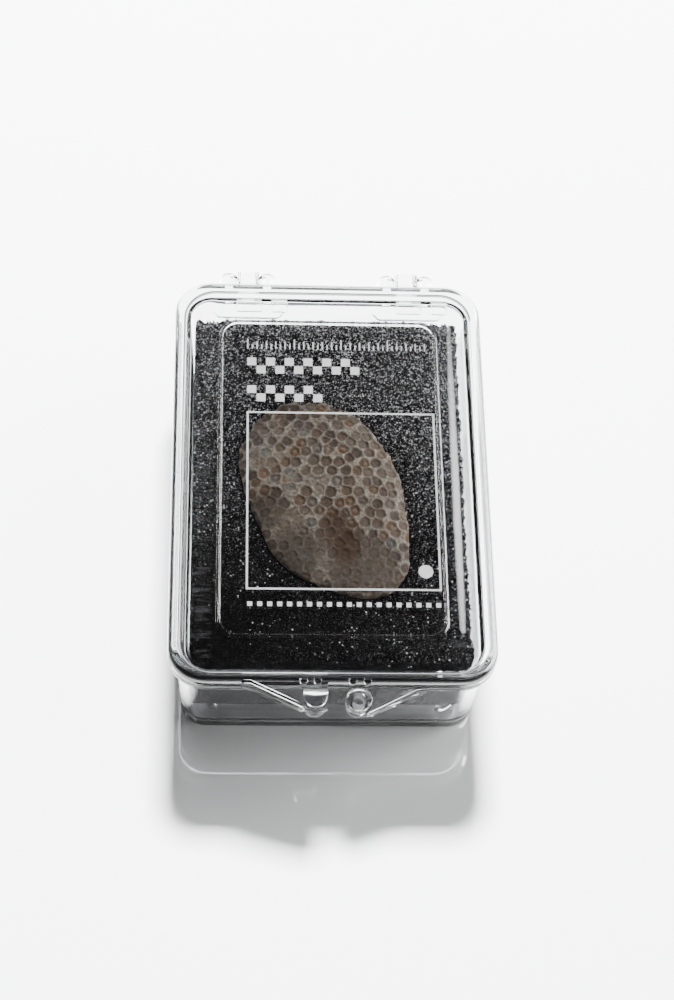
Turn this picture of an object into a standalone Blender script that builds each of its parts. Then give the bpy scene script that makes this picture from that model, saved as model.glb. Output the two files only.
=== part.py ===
"""Fossil bryozoan resting on a foam pad in a small clear hinged specimen box."""

import math

import bmesh
import bpy
from mathutils import Vector, noise

MM = 0.001

# Outline of the rim where the two halves of the box meet
HALF_WIDTH = 16.5
HALF_LENGTH = 23.5
CORNER_RADIUS = 3.8
TRAY_CORNER_TIGHTENING = 0.9
LID_CORNER_TIGHTENING = 0.4
SMALLEST_CORNER = 1.4
CORNER_SEGMENTS = 7

# Levels above the table
TRAY_RIM_TOP = 13.8
LID_RIM_BOTTOM = 14.1
LID_TOP = 15.3
LID_PANEL_TOP = 14.95
FLOOR_TOP = 2.95

# Foam pad
FOAM_HALF_WIDTH = 14.25
FOAM_HALF_LENGTH = 20.4
FOAM_CORNER_RADIUS = 0.6
FOAM_BOTTOM = 3.25
FOAM_TOP = 12.6
POCKET_CLEARANCE = 0.35
POCKET_DEPTH_CLEARANCE = 0.4

# Fossil, its outline given as radii at equal angles from its middle
FOSSIL_X = -0.8
FOSSIL_Y = -1.9
FOSSIL_RADII = (8.7, 8.7, 8.8, 9.2, 10.0, 10.9, 11.7, 12.0, 11.9, 11.1, 10.1, 8.8,
                7.9, 7.4, 7.4, 8.0, 8.7, 9.3, 10.2, 11.6, 12.8, 12.2, 10.5, 9.2)
FOSSIL_EDGE_LEVEL = 12.75
FOSSIL_DOME = 1.5
FOSSIL_BELLY = 4.3
FOSSIL_AROUND = 72
FOSSIL_TOP_RINGS = 17
FOSSIL_BELLY_RINGS = 5
POCKET_AROUND = 44
CELL_PITCH = 1.35
CELL_DEPTH = 0.14

# Hinge at the back
HINGE_Y = 24.8
HINGE_Z = 13.05
HINGE_GROUP_X = 8.65
KNUCKLE_SPACING = 4.16
KNUCKLE_RADIUS = 1.1
SOCKET_RADIUS = 0.6
SOCKET_END = 0.1
PIN_RADIUS = 0.35
PIN_END = 0.35
BARREL_RADIUS = 1.0
BARREL_GAP = 0.25
NECK_WIDTH = 0.9
ARM_WIDTH = 2.3
BRACKET_HALF_WIDTH = 3.9
BRACKET_FRONT_Y = 18.9

# Latch tabs at the front
TAB_TIP_Y = -25.9
TAB_ROOT_Y = -23.1
TAB_DROP = 0.35
TAB_THICKNESS = 0.8
LID_TAB_ROOT_X = -9.1
LID_TAB_TIP_X = -3.1
LID_POST_X = -1.8
LID_POST_Y = -24.65
LID_POST_RADIUS = 1.22
LID_POST_Z = (11.7, 14.7)
TRAY_TAB_ROOT_X = 9.3
TRAY_TAB_TIP_X = 3.7
RING_X = 2.55
RING_Y = -24.6
RING_RADIUS = 1.3
RING_HOLE_RADIUS = 0.65
RING_Z = (11.7, 13.6)


def material(name, colour, roughness, alpha=1.0, ior=1.5):
    made = bpy.data.materials.new(name)
    made.use_nodes = True
    shader = made.node_tree.nodes["Principled BSDF"]
    shader.inputs["Base Color"].default_value = (*colour, 1.0)
    shader.inputs["Roughness"].default_value = roughness
    shader.inputs["Metallic"].default_value = 0.0
    shader.inputs["IOR"].default_value = ior
    shader.inputs["Alpha"].default_value = alpha
    return made


def collection(name):
    made = bpy.data.collections.new(name)
    bpy.context.scene.collection.children.link(made)
    return made


def add_object(name, mesh, group):
    made = bpy.data.objects.new(name, mesh)
    group.objects.link(made)
    return made


def mesh_from_bmesh(name, bm):
    bmesh.ops.recalc_face_normals(bm, faces=bm.faces)
    mesh = bpy.data.meshes.new(name)
    bm.to_mesh(mesh)
    bm.free()
    return mesh


def rounded_rectangle(half_x, half_y, radius, z):
    """One closed row of points around a rectangle with rounded corners."""
    points = []
    for corner, (side_x, side_y) in enumerate(((1, 1), (-1, 1), (-1, -1), (1, -1))):
        for step in range(CORNER_SEGMENTS + 1):
            angle = (corner + step / CORNER_SEGMENTS) * math.pi / 2
            x = side_x * (half_x - radius) + radius * math.cos(angle)
            y = side_y * (half_y - radius) + radius * math.sin(angle)
            points.append((x * MM, y * MM, z * MM))
    return points


def loft(name, rings):
    """A closed solid through rows of points, with a flat face at each end."""
    bm = bmesh.new()
    rows = [[bm.verts.new(point) for point in ring] for ring in rings]
    count = len(rows[0])
    for lower, upper in zip(rows, rows[1:]):
        for i in range(count):
            j = (i + 1) % count
            bm.faces.new((lower[i], lower[j], upper[j], upper[i]))
    bm.faces.new(list(reversed(rows[0])))
    bm.faces.new(rows[-1])
    return mesh_from_bmesh(name, bm)


def shell(name, profile, tightening):
    """A box half turned around its outline: each step of the profile is an inset and a level."""
    rings = []
    for inset, z in profile:
        radius = max(SMALLEST_CORNER, CORNER_RADIUS - tightening * inset)
        rings.append(rounded_rectangle(HALF_WIDTH - inset, HALF_LENGTH - inset, radius, z))
    return loft(name, rings)


def prism(name, outline, axis, start, end):
    """An outline pushed along X or Z between two positions."""
    bm = bmesh.new()
    rows = []
    for position in (start, end):
        if axis == "X":
            rows.append([bm.verts.new((position * MM, a * MM, b * MM)) for a, b in outline])
        else:
            rows.append([bm.verts.new((a * MM, b * MM, position * MM)) for a, b in outline])
    count = len(outline)
    for i in range(count):
        j = (i + 1) % count
        bm.faces.new((rows[0][i], rows[0][j], rows[1][j], rows[1][i]))
    bm.faces.new(list(reversed(rows[0])))
    bm.faces.new(rows[1])
    return mesh_from_bmesh(name, bm)


def round_bar(name, centre, radius, start, end, axis, segments):
    """A straight round bar along X or Z."""
    outline = []
    for i in range(segments):
        angle = 2 * math.pi * i / segments
        outline.append((centre[0] + radius * math.cos(angle), centre[1] + radius * math.sin(angle)))
    return prism(name, outline, axis, start, end)


def ball(name, centre, radius, across, rows):
    bm = bmesh.new()
    bmesh.ops.create_uvsphere(bm, u_segments=across, v_segments=rows, radius=radius * MM)
    bmesh.ops.translate(bm, verts=bm.verts, vec=Vector(centre) * MM)
    return mesh_from_bmesh(name, bm)


def combine(target, mesh, operation, group):
    """Joins a tool shape to a part or cuts it away."""
    tool = add_object(mesh.name, mesh, group)
    tool.hide_render = True
    tool.display_type = "WIRE"
    step = target.modifiers.new(mesh.name, "BOOLEAN")
    step.operation = operation
    step.solver = "EXACT"
    step.object = tool


def sloped_tab(name, root_x, tip_x, inner_x, level):
    """A thin triangular finger tab that drops a little toward its tip."""
    outline = ((inner_x, TAB_ROOT_Y), (root_x, TAB_ROOT_Y), (root_x, -HALF_LENGTH - 0.1),
               (tip_x, TAB_TIP_Y), (inner_x, TAB_TIP_Y))
    bm = bmesh.new()
    rows = []
    for lift in (0.0, TAB_THICKNESS):
        row = []
        for x, y in outline:
            z = level + lift - TAB_DROP * max(0.0, -HALF_LENGTH - y)
            row.append(bm.verts.new((x * MM, y * MM, z * MM)))
        rows.append(row)
    count = len(outline)
    for i in range(count):
        j = (i + 1) % count
        bm.faces.new((rows[0][i], rows[0][j], rows[1][j]))
        bm.faces.new((rows[0][i], rows[1][j], rows[1][i]))
    for row in rows:
        bmesh.ops.triangulate(bm, faces=[bm.faces.new(row)])
    return mesh_from_bmesh(name, bm)


def fossil_radius(angle):
    """Smooth closed outline through the fossil's radii."""
    count = len(FOSSIL_RADII)
    place = (angle / (2 * math.pi)) % 1.0 * count
    i = int(place)
    t = place - i
    a, b, c, d = (FOSSIL_RADII[(i + k) % count] for k in (-1, 0, 1, 2))
    return 0.5 * (2 * b + (c - a) * t + (2 * a - 5 * b + 4 * c - d) * t * t + (3 * b - a - 3 * c + d) * t ** 3)


def cell_relief(x, y):
    """Height of the cell walls: one at a wall, nought on a cell floor."""
    distances, _ = noise.voronoi(Vector((x / CELL_PITCH, y / CELL_PITCH, 0.5)))
    wall = 1.0 - min(1.0, (distances[1] - distances[0]) * 2.6)
    return wall * wall


def fossil_mesh(name):
    """A domed, uneven lump with a shallow honeycomb of cells over its top."""
    rings = []
    for ring in range(FOSSIL_BELLY_RINGS):
        rings.append((-1, (ring + 0.35) / (FOSSIL_BELLY_RINGS + 0.2)))
    for ring in range(FOSSIL_TOP_RINGS + 1):
        rings.append((1, 1.0 - ring / (FOSSIL_TOP_RINGS + 0.6)))
    rows = []
    for side, share in rings:
        row = []
        for i in range(FOSSIL_AROUND):
            angle = 2 * math.pi * i / FOSSIL_AROUND
            reach = fossil_radius(angle) * share
            x = FOSSIL_X + reach * math.cos(angle)
            y = FOSSIL_Y + reach * math.sin(angle)
            swell = noise.noise(Vector((x * 0.16, y * 0.16, 3.0)))
            if side > 0:
                rise = (1.0 - share ** 2.6) ** 0.62
                z = FOSSIL_EDGE_LEVEL + rise * (FOSSIL_DOME * (0.9 + 0.16 * swell))
                z -= CELL_DEPTH * (1.0 - cell_relief(x, y)) * min(1.0, 6.0 * (1.0 - share))
            else:
                z = FOSSIL_EDGE_LEVEL - (1.0 - share ** 3) ** 0.5 * FOSSIL_BELLY * (0.95 + 0.1 * swell)
            row.append((x * MM, y * MM, z * MM))
        rows.append(row)
    return loft(name, rows)


def pocket_mesh(name):
    """The hollow pressed into the foam, a little larger than the fossil's belly."""
    rows = []
    for share in (0.25, 0.55, 0.78, 0.92, 1.0):
        depth = (1.0 - share ** 3) ** 0.5 * FOSSIL_BELLY + POCKET_DEPTH_CLEARANCE
        if share == 1.0:
            depth = 0.9
        rows.append((share, FOSSIL_EDGE_LEVEL - depth))
    rows.append((1.0, FOAM_TOP + 2.0))
    rings = []
    for share, z in rows:
        ring = []
        for i in range(POCKET_AROUND):
            angle = 2 * math.pi * i / POCKET_AROUND
            reach = fossil_radius(angle) * share + POCKET_CLEARANCE
            x = FOSSIL_X + reach * math.cos(angle)
            y = FOSSIL_Y + reach * math.sin(angle)
            ring.append((x * MM, y * MM, z * MM))
        rings.append(ring)
    return loft(name, rings)


def arm_outline():
    """Side shape of a lid hinge arm, from the lid rim down around the barrel."""
    outline = [(22.7, 15.1), (22.7, 14.25), (23.85, 14.15)]
    for degrees in range(180, 400, 20):
        angle = math.radians(degrees)
        outline.append((HINGE_Y + BARREL_RADIUS * math.cos(angle), HINGE_Z + BARREL_RADIUS * math.sin(angle)))
    outline += [(25.45, 14.35), (25.0, 14.85), (24.4, 15.1)]
    return outline


for old in list(bpy.data.objects):
    bpy.data.objects.remove(old)

box = collection("bryozoan_specimen_box")
tools = collection("cutters")

clear = material("clear_polystyrene", (0.93, 0.94, 0.95), 0.05, 0.35, 1.59)
foam = material("black_foam", (0.02, 0.02, 0.022), 0.95)
stone = material("bryozoan_stone", (0.33, 0.27, 0.21), 0.85)

# Tray, from the raised floor's underside round the foot and wall to its upper side
tray_profile = (
    (4.55, 1.9), (4.3, 1.75), (4.2, 0.35), (4.1, 0.1), (3.85, 0.0),
    (1.95, 0.0), (1.5, 0.12), (1.22, 0.42), (1.12, 0.9),
    (0.92, 12.3), (0.86, 12.65), (0.6, 12.82), (0.15, 12.86), (0.0, 13.0), (0.0, 13.62),
    (0.12, TRAY_RIM_TOP), (1.6, TRAY_RIM_TOP), (1.72, 13.66),
    (1.95, 1.9), (2.05, 1.4), (2.35, 1.08), (2.75, 1.0), (3.05, 1.1),
    (3.18, 1.35), (3.24, 2.7), (3.32, 2.88), (3.55, FLOOR_TOP),
)
tray = add_object("box_base", shell("box_base", tray_profile, TRAY_CORNER_TIGHTENING), box)
tray.data.materials.append(clear)

# Lid, from the underside of its sunk panel round the rim to its upper side
lid_profile = (
    (5.6, 14.42), (5.1, 14.43), (4.5, 14.48), (3.7, 14.56), (3.1, 14.6),
    (2.6, 14.62), (1.3, 14.62), (1.08, 14.45), (1.02, LID_RIM_BOTTOM), (0.12, LID_RIM_BOTTOM),
    (0.0, 14.22), (0.0, 14.6), (0.06, 14.88), (0.2, 15.1), (0.42, 15.25), (0.7, LID_TOP),
    (2.25, LID_TOP), (2.65, 15.28), (3.1, 15.22), (3.9, 15.06), (4.5, 14.97), (5.1, LID_PANEL_TOP),
)
lid = add_object("box_lid", shell("box_lid", lid_profile, LID_CORNER_TIGHTENING), box)
lid.data.materials.append(clear)

# Hinge: ball knuckles on the tray, a barrel with pins between them on the lid
for side, group_x in (("left", -HINGE_GROUP_X), ("right", HINGE_GROUP_X)):
    for end in (-1, 1):
        x = group_x + end * KNUCKLE_SPACING / 2
        label = f"{side}_{'outer' if end * group_x > 0 else 'inner'}"
        neck = ((x - NECK_WIDTH / 2, 22.9), (x + NECK_WIDTH / 2, 22.9),
                (x + NECK_WIDTH / 2, HINGE_Y - 0.3), (x - NECK_WIDTH / 2, HINGE_Y - 0.3))
        combine(tray, prism(f"neck_{label}", neck, "Z", 12.95, 13.55), "UNION", tools)
        combine(tray, ball(f"knuckle_{label}", (x, HINGE_Y, HINGE_Z), KNUCKLE_RADIUS, 18, 10), "UNION", tools)
        socket = (x - end * SOCKET_END, x - end * 1.6)
        combine(tray, round_bar(f"socket_{label}", (HINGE_Y, HINGE_Z), SOCKET_RADIUS,
                                min(socket), max(socket), "X", 16), "DIFFERENCE", tools)
    left_x = group_x - BRACKET_HALF_WIDTH
    right_x = group_x + BRACKET_HALF_WIDTH
    bracket = ((left_x, 21.5), (left_x, BRACKET_FRONT_Y + 0.7), (left_x + 0.7, BRACKET_FRONT_Y),
               (right_x - 0.7, BRACKET_FRONT_Y), (right_x, BRACKET_FRONT_Y + 0.7), (right_x, 21.5))
    combine(lid, prism(f"bracket_{side}", bracket, "Z", 14.75, LID_TOP - 0.06), "UNION", tools)
    arm = prism(f"arm_{side}", arm_outline(), "X", group_x - ARM_WIDTH / 2, group_x + ARM_WIDTH / 2)
    combine(lid, arm, "UNION", tools)
    for end in (-1, 1):
        centre = (group_x + end * KNUCKLE_SPACING / 2, HINGE_Y, HINGE_Z)
        end_name = "left" if end < 0 else "right"
        hollow = ball(f"barrel_end_{side}_{end_name}", centre, KNUCKLE_RADIUS + BARREL_GAP, 18, 10)
        combine(lid, hollow, "DIFFERENCE", tools)
    pin_half = KNUCKLE_SPACING / 2 - PIN_END
    combine(lid, round_bar(f"pin_{side}", (HINGE_Y, HINGE_Z), PIN_RADIUS,
                           group_x - pin_half, group_x + pin_half, "X", 12), "UNION", tools)

# Latch: a tab with a post on the lid, a tab with a ring on the tray
combine(lid, sloped_tab("lid_tab", LID_TAB_ROOT_X, LID_TAB_TIP_X, LID_POST_X + LID_POST_RADIUS, 14.2),
        "UNION", tools)
post = [(LID_POST_X - LID_POST_RADIUS + 0.02, -23.85)]
for step in range(11):
    angle = math.pi * (1 + step / 10)
    reach = (LID_POST_RADIUS - 0.02) * math.cos(angle)
    post.append((LID_POST_X + reach, LID_POST_Y + LID_POST_RADIUS * math.sin(angle)))
post.append((LID_POST_X + LID_POST_RADIUS - 0.02, -23.85))
combine(lid, prism("lid_post", post, "Z", *LID_POST_Z), "UNION", tools)
combine(tray, sloped_tab("tray_tab", TRAY_TAB_ROOT_X, TRAY_TAB_TIP_X, RING_X, 12.92), "UNION", tools)
combine(tray, round_bar("ring_boss", (RING_X, RING_Y), RING_RADIUS, *RING_Z, "Z", 24), "UNION", tools)
ring_hole = round_bar("ring_hole", (RING_X, RING_Y), RING_HOLE_RADIUS, 11.0, 14.05, "Z", 20)
combine(tray, ring_hole, "DIFFERENCE", tools)

# Foam pad with the pocket the fossil sits in
foam_rings = [rounded_rectangle(FOAM_HALF_WIDTH, FOAM_HALF_LENGTH, FOAM_CORNER_RADIUS, z)
              for z in (FOAM_BOTTOM, FOAM_TOP)]
pad = add_object("foam_pad", loft("foam_pad", foam_rings), box)
pad.data.materials.append(foam)
combine(pad, pocket_mesh("foam_pocket"), "DIFFERENCE", tools)

# Fossil
fossil = add_object("bryozoan_fossil", fossil_mesh("bryozoan_fossil"), box)
fossil.data.materials.append(stone)
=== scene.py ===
"""Looks of the fossil bryozoan on black foam in its small clear hinged specimen box."""

import math

import bmesh
import bpy
import numpy as np
from mathutils import Matrix, Vector, noise


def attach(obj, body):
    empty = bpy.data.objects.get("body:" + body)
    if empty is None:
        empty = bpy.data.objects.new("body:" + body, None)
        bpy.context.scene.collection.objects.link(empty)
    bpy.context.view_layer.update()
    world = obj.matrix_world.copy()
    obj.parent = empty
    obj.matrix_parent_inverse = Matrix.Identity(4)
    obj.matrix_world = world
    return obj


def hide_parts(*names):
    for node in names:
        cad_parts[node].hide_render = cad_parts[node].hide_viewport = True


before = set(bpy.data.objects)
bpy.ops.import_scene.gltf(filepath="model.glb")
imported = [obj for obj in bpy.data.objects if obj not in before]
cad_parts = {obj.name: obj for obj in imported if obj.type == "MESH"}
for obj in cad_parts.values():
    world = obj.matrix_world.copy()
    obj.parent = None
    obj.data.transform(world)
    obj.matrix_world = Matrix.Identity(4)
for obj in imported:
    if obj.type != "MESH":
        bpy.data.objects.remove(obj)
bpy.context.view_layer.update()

MM = 0.001

# Rim outline of the box, in millimetres
HALF_WIDTH = 16.5
HALF_LENGTH = 23.5
CORNER_RADIUS = 3.8
TRAY_CORNER_TIGHTENING = 0.9
LID_CORNER_TIGHTENING = 0.4
SMALLEST_CORNER = 1.4
CORNER_SEGMENTS = 14
PROFILE_ROUNDS = 2
SHARP_ANGLE = 35
TRAY_RIM_TOP = 13.8
LID_RIM_BOTTOM = 14.1
LID_TOP = 15.3
LID_PANEL_TOP = 14.95
PANEL_BEAD = 0.1

# Hinge
HINGE_Y = 24.8
HINGE_Z = 13.05
HINGE_GROUP_X = 8.65
KNUCKLE_SPACING = 4.16
KNUCKLE_RADIUS = 1.1
SOCKET_RADIUS = 0.6
SOCKET_REACH = (0.1, 1.6)
PIN_RADIUS = 0.35
PIN_GAP = 0.35
BARREL_RADIUS = 1.0
BARREL_GAP = 0.25
NECK_WIDTH = 0.9
NECK_Y = (22.9, HINGE_Y - 0.3)
NECK_Z = (12.95, 13.55)
ARM_WIDTH = 2.3
BRACKET_HALF_WIDTH = 3.9
BRACKET_FRONT_Y = 18.9
BRACKET_BACK_Y = 21.5
BRACKET_CORNER = 0.7
BRACKET_BOTTOM = 14.75
RAISED_TOP = LID_TOP - 0.06
# Pockets in each bracket: middle and half width along the hinge, then front and back edge and depth
POCKETS = ((0.1, 1.35), (3.4, 0.85))
POCKET_Y = (19.7, 21.3)
POCKET_DEPTH = 0.45

# Latch tabs, each with a rib along its edge that has its own level and thickness
TAB_TIP_Y = -25.9
TAB_ROOT_Y = -23.1
TAB_DROP = 0.35
TAB_THICKNESS = 0.8
TAB_RIB_WIDTH = 0.4
LID_TAB_ROOT_X = -9.1
LID_TAB_TIP_X = -3.1
LID_TAB_BOTTOM = 14.2
LID_RIB = (13.95, 1.2)
LID_POST_X = -1.8
LID_POST_Y = -24.65
LID_POST_RADIUS = 1.22
LID_POST_BACK_Y = -23.85
LID_POST_Z = (11.7, 14.7)
LID_BOSSES_X = (-3.0, -1.6, 1.85, 3.3)
LID_BOSS_Y = -23.32
LID_BOSS_RADIUS = 0.42
LID_BOSS_BOTTOM = 14.6
TRAY_TAB_ROOT_X = 9.3
TRAY_TAB_TIP_X = 3.7
TRAY_TAB_BOTTOM = 12.92
TRAY_RIB = (12.7, 1.0)
RING_X = 2.55
RING_Y = -24.6
RING_RADIUS = 1.3
RING_HOLE_RADIUS = 0.65
RING_Z = (11.7, 13.6)
RING_HOLE_Z = (11.0, 14.05)

# Foam pad
FOAM_HALF_WIDTH = 14.38
FOAM_HALF_LENGTH = 20.4
FOAM_BOTTOM = 3.2
FOAM_TOP = 12.55
FOAM_STEP = 0.21
FOAM_CELL = 0.42
FOAM_ROUGHNESS = 0.17
# How far the upper edges are torn in, and the band and the depth over which that fades
FOAM_TORN_BACK = 0.8
FOAM_TORN_ELSEWHERE = 0.35
FOAM_TORN_BAND = 1.3
FOAM_TORN_DEPTH = 1.7
FOAM_SEED = 5
# The hollow under the fossil and the soft lip around it, as shares of the fossil's own reach
HOLLOW_REACH = 0.985
HOLLOW_SINK = 0.9
LIP_REACH = 1.12
LIP_WIDTH = 0.135
LIP_SINK = 0.35

# Fossil, its outline given as radii at equal angles from its middle
FOSSIL_X = -0.8
FOSSIL_Y = -1.9
FOSSIL_RADII = (8.7, 8.7, 8.8, 9.2, 10.0, 10.9, 11.7, 12.0, 11.9, 11.1, 10.1, 8.8,
                7.9, 7.4, 7.4, 8.0, 8.7, 9.3, 10.2, 11.6, 12.8, 12.2, 10.5, 9.2)
FOSSIL_RIM_INSET = 0.1
FOSSIL_RIM_ROUGHNESS = 0.12
FOSSIL_EDGE_LEVEL = 12.75
FOSSIL_DOME = 1.5
FOSSIL_BELLY = 4.3
FOSSIL_AROUND = 420
FOSSIL_TOP_RINGS = 130
FOSSIL_BELLY_RINGS = 20
CELL_PITCH = 1.36
CELL_JITTER = 0.18
CELL_RADIUS = 0.42
CELL_RADIUS_SPREAD = 0.09
CELL_DEPTH = 0.2
CELL_SEED = 7
CELL_ROW_STEP = 0.866
CELL_COLUMNS = 26
CELL_FIELD = 17.0
CELLS_AT_ONCE = 4000
STONE_GRIT = 0.045
# Places where stone fills the cells, the brown stain, the painted shade over the lower end and the painted
# highlight
# along the rim: x, y and radius, then how strongly each shows
FILLED_PATCHES = ((-1.6, -0.4, 1.3), (-4.2, -0.6, 1.0), (-5.0, -5.6, 2.4), (-2.4, -8.8, 2.6),
                  (3.4, -11.0, 3.2), (0.6, -11.4, 2.6), (-7.6, 2.6, 1.6))
STAIN_PATCHES = ((1.0, -6.6, 2.2), (0.4, -5.0, 1.4), (1.6, -8.2, 1.7))
PAINTED_SHADE_PATCHES = ((3.4, -10.6, 4.2), (-3.6, -8.4, 3.2), (-6.4, -3.6, 2.4))
PAINTED_HIGHLIGHT_PATCHES = ((3.6, 7.2, 2.6), (5.6, 4.4, 2.6), (6.8, 1.0, 2.4), (7.4, -3.0, 1.8), (-6.4, 6.2, 2.2))
STAIN_STRENGTH = 0.82
PAINTED_SHADE_STRENGTH = 0.76
PAINTED_HIGHLIGHT_STRENGTH = 0.15

# Print on the lid: a thin frame and plain scale marks
INK_LIFT = 0.015
INK_THICKNESS = 0.02
FRAME_LEFT, FRAME_RIGHT = -8.74, 11.06
FRAME_FRONT, FRAME_BACK = -13.42, 7.34
FRAME_LINE = 0.21
RULER_Y = 15.1
RULER_STEPS = 39
RULER_LINE = 0.14
# Heights of the ruler's lines at every five millimetres, at each one and at each half
RULER_HEIGHTS = (1.25, 0.95, 0.6)
# Front edge and number of columns of each chequered bar
CHEQUERED_BARS = ((12.0, 12), (8.55, 8))
CHEQUER_GAP = 0.02
DOTS = 20
DOTS_START = 0.15
DOT_WIDTH = 0.5
DOTS_Y = (-15.25, -14.75)
# Place and radius of the disc
DISC = (9.5, -11.25, 0.75)

# Camera, worked out from the rim, foam and latch lines of the photograph
CAMERA_AZIMUTH = 6.83
CAMERA_ELEVATION = 61.74
CAMERA_ROLL = 6.71
CAMERA_DISTANCE = 225.0
CAMERA_AIM_RIGHT = 1.48
CAMERA_AIM_UP = 4.27
CAMERA_LENS = 73.5

# Soft lamps around the box: azimuth, elevation, inner and outer half angle in degrees, and level
SIDE_WINDOW = (80.0, 24.0, 16.0, 32.0, 30.0)
SMALL_LAMP = (-31.0, 57.0, 3.0, 6.5, 25.0)
ROOM_LOW = 1.5
ROOM_HIGH = 0.05
# Lamp for the table top alone, and the table top, in metres
FLOOR_LIGHT_PLACE = (0.010, 0.26, 0.40)
FLOOR_LIGHT_AIM = (0.0, 0.0, 0.01)
FLOOR_LIGHT_SIZE = (0.09, 0.07)
FLOOR_LIGHT_POWER = 75.0
FLOOR_REACH = 1.5
FLOOR_LEVEL = -0.0001


def linear(hex_colour):
    """An sRGB hex colour as the linear values that a shader takes."""
    shares = [int(hex_colour[i:i + 2], 16) / 255 for i in (1, 3, 5)]
    return (*[c / 12.92 if c <= 0.04045 else ((c + 0.055) / 1.055) ** 2.4 for c in shares], 1.0)


def per(size_mm):
    """Texture scale that gives a pattern one repeat in this many millimetres."""
    return 1000.0 / size_mm


def add_node(tree, kind, settings=None, stops=None, **inputs):
    """Adds a node; each input is a value or the socket that feeds it."""
    node = tree.nodes.new(kind)
    for name, value in (settings or {}).items():
        setattr(node, name, value)
    if stops:
        ramp = node.color_ramp.elements
        while len(ramp) < len(stops):
            ramp.new(0.5)
        for element, (place, colour) in zip(ramp, stops):
            element.position = place
            element.color = linear(colour)
    for name, value in inputs.items():
        socket = node.inputs[int(name[1:])] if name[0] == "_" else node.inputs[name.replace("_", " ")]
        if isinstance(value, bpy.types.NodeSocket):
            tree.links.new(value, socket)
        else:
            socket.default_value = value
    return node


def new_material(name):
    made = bpy.data.materials.new(name)
    made.use_nodes = True
    made.node_tree.nodes.clear()
    return made, made.node_tree


def finish_material(tree, shader):
    add_node(tree, "ShaderNodeOutputMaterial", Surface=shader.outputs["BSDF"])


def clear_polystyrene():
    """Crystal polystyrene, injection moulded in a polished mould: water clear, with sharp bright and dark
    lines where its edges bend the light, very faint flow waves and fine handling haze."""
    made, tree = new_material("clear_polystyrene")
    place = add_node(tree, "ShaderNodeTexCoord").outputs["Object"]
    waves = add_node(tree, "ShaderNodeTexNoise", Vector=place, Scale=per(5.0), Detail=1.0)
    bump = add_node(tree, "ShaderNodeBump", Strength=0.03, Distance=0.00005, Height=waves.outputs["Fac"])
    haze = add_node(tree, "ShaderNodeTexNoise", Vector=place, Scale=per(2.5), Detail=6.0)
    rough = add_node(tree, "ShaderNodeMapRange", Value=haze.outputs["Fac"], _1=0.45, _2=0.8, _3=0.0,
                     _4=0.035)
    shader = add_node(tree, "ShaderNodeBsdfPrincipled", Base_Color=linear("#FBFCFD"), IOR=1.59,
                      Roughness=rough.outputs["Result"], Transmission_Weight=1.0,
                      Normal=bump.outputs["Normal"])
    finish_material(tree, shader)
    return made


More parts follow.
